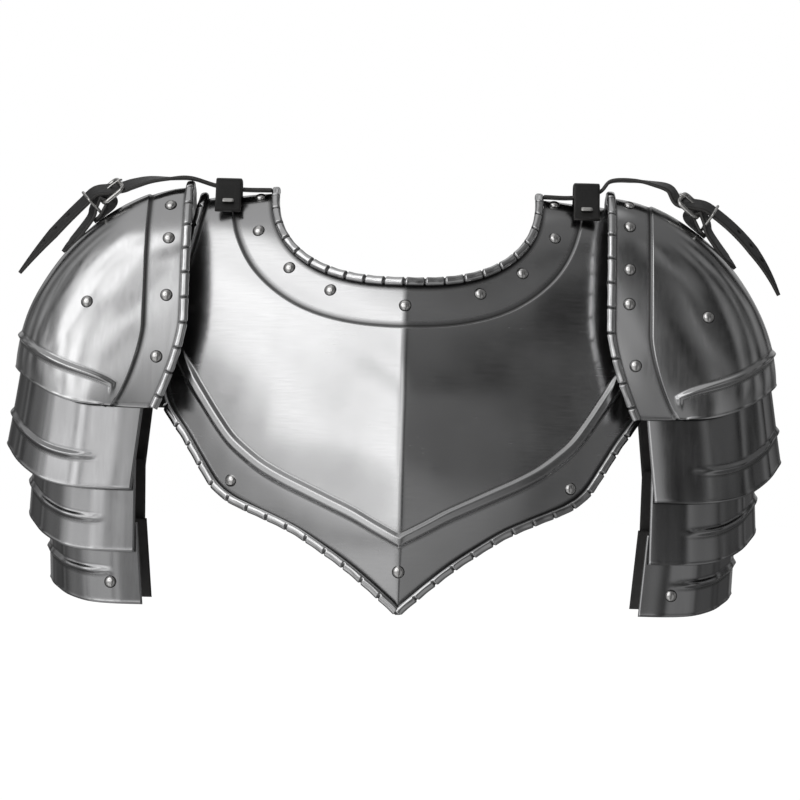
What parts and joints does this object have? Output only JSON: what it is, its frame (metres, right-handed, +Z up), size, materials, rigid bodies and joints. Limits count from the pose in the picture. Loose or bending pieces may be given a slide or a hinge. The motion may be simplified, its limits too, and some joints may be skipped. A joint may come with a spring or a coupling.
{
  "type": "pauldron pair with gorget plate",
  "caption": "Polished steel gorget plate with two laminated shoulder pauldrons strapped and buckled to it, as worn.",
  "frame": {"origin": "midway between the two neck corners of the gorget plate, level with the tops of the shoulders", "axes": "+X to the wearer's left, +Z up, and the front of the chest faces -Y"},
  "size_m": [0.598, 0.204, 0.3379],
  "materials": {
    "polished_steel": "finely brushed and polished sheet steel",
    "rivet_steel": "polished domed steel rivets",
    "nickel": "bright nickel-plated wire",
    "black_leather": "black strap leather with a dull sheen and cut edges"
  },
  "bodies": {
    "root": {"gorget_plate": "polished_steel", "neck_rivet_1": "rivet_steel", "neck_rivet_2": "rivet_steel", "neck_rivet_3": "rivet_steel", "neck_rivet_4": "rivet_steel", "neck_rivet_5": "rivet_steel", "neck_rivet_6": "rivet_steel", "neck_rivet_7": "rivet_steel", "neck_rivet_8": "rivet_steel", "neck_rivet_9": "rivet_steel", "border_rivet_1": "rivet_steel", "border_rivet_2": "rivet_steel", "border_rivet_3": "rivet_steel", "right_cop": "polished_steel", "right_upper_lame": "polished_steel", "right_middle_lame": "polished_steel", "right_lower_lame": "polished_steel", "right_front_leather": "black_leather", "right_back_leather": "black_leather", "right_collar_rivet_1": "rivet_steel", "right_collar_rivet_2": "rivet_steel", "right_collar_rivet_3": "rivet_steel", "right_collar_rivet_4": "rivet_steel", "right_cop_rivet_front": "rivet_steel", "right_cop_rivet_back": "rivet_steel", "right_lame_rivet_front": "rivet_steel", "right_lame_rivet_back": "rivet_steel", "right_shoulder_strap": "black_leather", "right_strap_tab": "black_leather", "right_tab_staple": "nickel", "right_buckle_chape": "black_leather", "right_buckle_frame": "nickel", "right_buckle_prong": "nickel", "right_buckle_keeper": "nickel", "left_cop": "polished_steel", "left_upper_lame": "polished_steel", "left_middle_lame": "polished_steel", "left_lower_lame": "polished_steel", "left_front_leather": "black_leather", "left_back_leather": "black_leather", "left_collar_rivet_1": "rivet_steel", "left_collar_rivet_2": "rivet_steel", "left_collar_rivet_3": "rivet_steel", "left_collar_rivet_4": "rivet_steel", "left_collar_rivet_5": "rivet_steel", "left_cop_rivet_front": "rivet_steel", "left_cop_rivet_back": "rivet_steel", "left_lame_rivet_front": "rivet_steel", "left_lame_rivet_back": "rivet_steel", "left_shoulder_strap": "black_leather", "left_strap_tab": "black_leather", "left_tab_staple": "nickel", "left_buckle_chape": "black_leather", "left_buckle_frame": "nickel", "left_buckle_prong": "nickel", "left_buckle_keeper": "nickel"}
  },
  "joints": []
}
